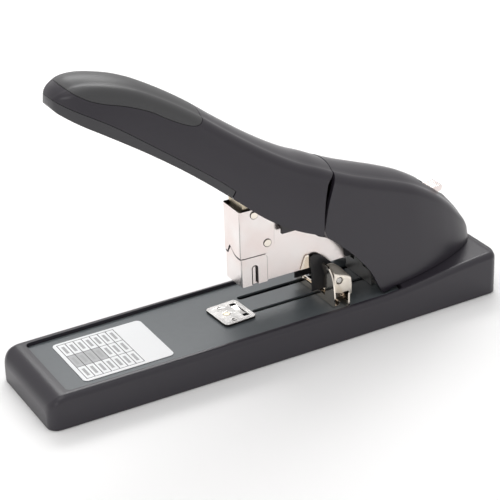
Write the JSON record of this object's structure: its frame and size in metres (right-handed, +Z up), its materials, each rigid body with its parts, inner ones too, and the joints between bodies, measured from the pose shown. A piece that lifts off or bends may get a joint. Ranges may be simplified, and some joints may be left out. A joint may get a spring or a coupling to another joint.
{
  "type": "desktop stapler",
  "caption": "Heavy-duty desktop stapler: long tray base with turning anvil, sprung magazine arm, hinged lever handle with grip, domed rear cover and sliding paper guide.",
  "frame": {"origin": "on the table under the middle of the base", "axes": "+X towards the rear of the base, +Y to the right-hand side of someone facing -X (the far side), +Z up from the table"},
  "size_m": [0.2908, 0.07, 0.1815],
  "materials": {
    "black_plastic": "satin moulded black",
    "grey_rubber": "soft-touch dark grey",
    "foot_rubber": "matte",
    "plate_paint": "blue-grey semi-gloss",
    "nickel": "bright nickel plate",
    "steel": "plain",
    "zinc": "yellow passivated zinc",
    "spring_steel": "spring wire",
    "label_paper": "white printed sticker"
  },
  "bodies": {
    "base": {"base_tray": "black_plastic", "bottom_cover": "steel", "cover_screw_front_left": "zinc", "cover_screw_front_right": "zinc", "cover_screw_rear_left": "zinc", "cover_screw_rear_right": "zinc", "foot_front_left": "foot_rubber", "foot_front_right": "foot_rubber", "foot_rear_left": "foot_rubber", "foot_rear_right": "foot_rubber", "base_plate": "plate_paint", "label": "label_paper", "pivot_bracket": "steel", "bracket_rivet_1": "steel", "bracket_rivet_2": "steel", "bracket_rivet_3": "steel", "bracket_rivet_4": "steel", "pivot_pin": "steel", "pivot_clip_left": "spring_steel", "pivot_clip_right": "spring_steel", "arm_return_spring": "spring_steel", "rear_housing": "black_plastic", "housing_screw_left": "zinc", "housing_screw_right": "zinc"},
    "anvil_plate": {"anvil": "nickel", "anvil_rivet": "zinc"},
    "magazine_arm": {"magazine_arm": "nickel", "head_cover": "nickel", "head_pin_lower": "nickel", "head_pin_upper": "nickel", "driver_spring_shelf": "steel", "driver_spring": "spring_steel", "arm_shroud": "black_plastic", "side_lug": "nickel", "spring_seat": "steel", "release_pin": "steel"},
    "release": {"release_lever": "nickel"},
    "driver": {"driver_block": "zinc", "driver_blade": "steel"},
    "magazine": {"magazine_rail": "steel", "magazine_sleeve": "nickel", "staple_strip": "nickel", "pusher_rod": "steel", "pusher_spring": "spring_steel"},
    "pusher": {"staple_pusher": "black_plastic"},
    "handle": {"handle_shell": "black_plastic", "handle_grip": "grey_rubber", "handle_underside": "black_plastic", "handle_lever_left": "steel", "handle_lever_right": "steel", "drive_pin": "steel", "lever_cross_bolt": "steel"},
    "guide": {"guide_carriage": "nickel", "guide_fork": "black_plastic", "guide_keeper": "steel", "guide_stud_near": "steel", "guide_stud_far": "steel", "guide_lock_upright": "nickel", "guide_lock_pin": "steel"},
    "guide_lock": {"guide_lock_lever": "nickel"}
  },
  "joints": [
    {"name": "anvil_turn", "type": "hinge", "parent": "base", "child": "anvil_plate", "pos_m": [-0.0211, -0.0006, 0.0192], "axis": [0, 0, 1], "range_deg": [0, 180]},
    {"name": "arm_press", "type": "hinge", "parent": "base", "child": "magazine_arm", "pos_m": [0.101, 0, 0.045], "axis": [0, 1, 0], "range_deg": [-9.1, 0], "stiffness_Nm_per_rad": 6, "springref_deg": 6.88, "deforming": ["arm_return_spring"]},
    {"name": "handle_press", "type": "hinge", "parent": "magazine_arm", "child": "handle", "pos_m": [0.101, 0, 0.045], "axis": [0, 1, 0], "range_deg": [-9, 0], "stiffness_Nm_per_rad": 6, "springref_deg": 8.59},
    {"name": "driver_slide", "type": "slide", "parent": "magazine_arm", "child": "driver", "axis": [0, 0, 1], "range_m": [-0.016, 0], "deforming": ["driver_spring"]},
    {"name": "release_turn", "type": "hinge", "parent": "magazine_arm", "child": "release", "pos_m": [0.089, 0, 0.057], "axis": [0, 1, 0], "range_deg": [0, 7], "stiffness_Nm_per_rad": 0.3, "springref_deg": -8.59},
    {"name": "magazine_slide", "type": "slide", "parent": "magazine_arm", "child": "magazine", "axis": [-1, 0, 0], "range_m": [0, 0.052]},
    {"name": "pusher_slide", "type": "slide", "parent": "magazine", "child": "pusher", "axis": [1, 0, 0], "range_m": [0, 0.01], "stiffness_N_per_m": 150, "springref_m": -0.02},
    {"name": "guide_slide", "type": "slide", "parent": "base", "child": "guide", "axis": [-1, 0, 0], "range_m": [0, 0.024]},
    {"name": "guide_lock_turn", "type": "hinge", "parent": "guide", "child": "guide_lock", "pos_m": [0.0408, 0, 0.0326], "axis": [0, 1, 0], "range_deg": [0, 4], "stiffness_Nm_per_rad": 0.2, "springref_deg": -5.73}
  ],
  "couplings": [
    {"joint": "driver_slide", "follows": "handle_press", "m_per_rad": 0.1013}
  ]
}
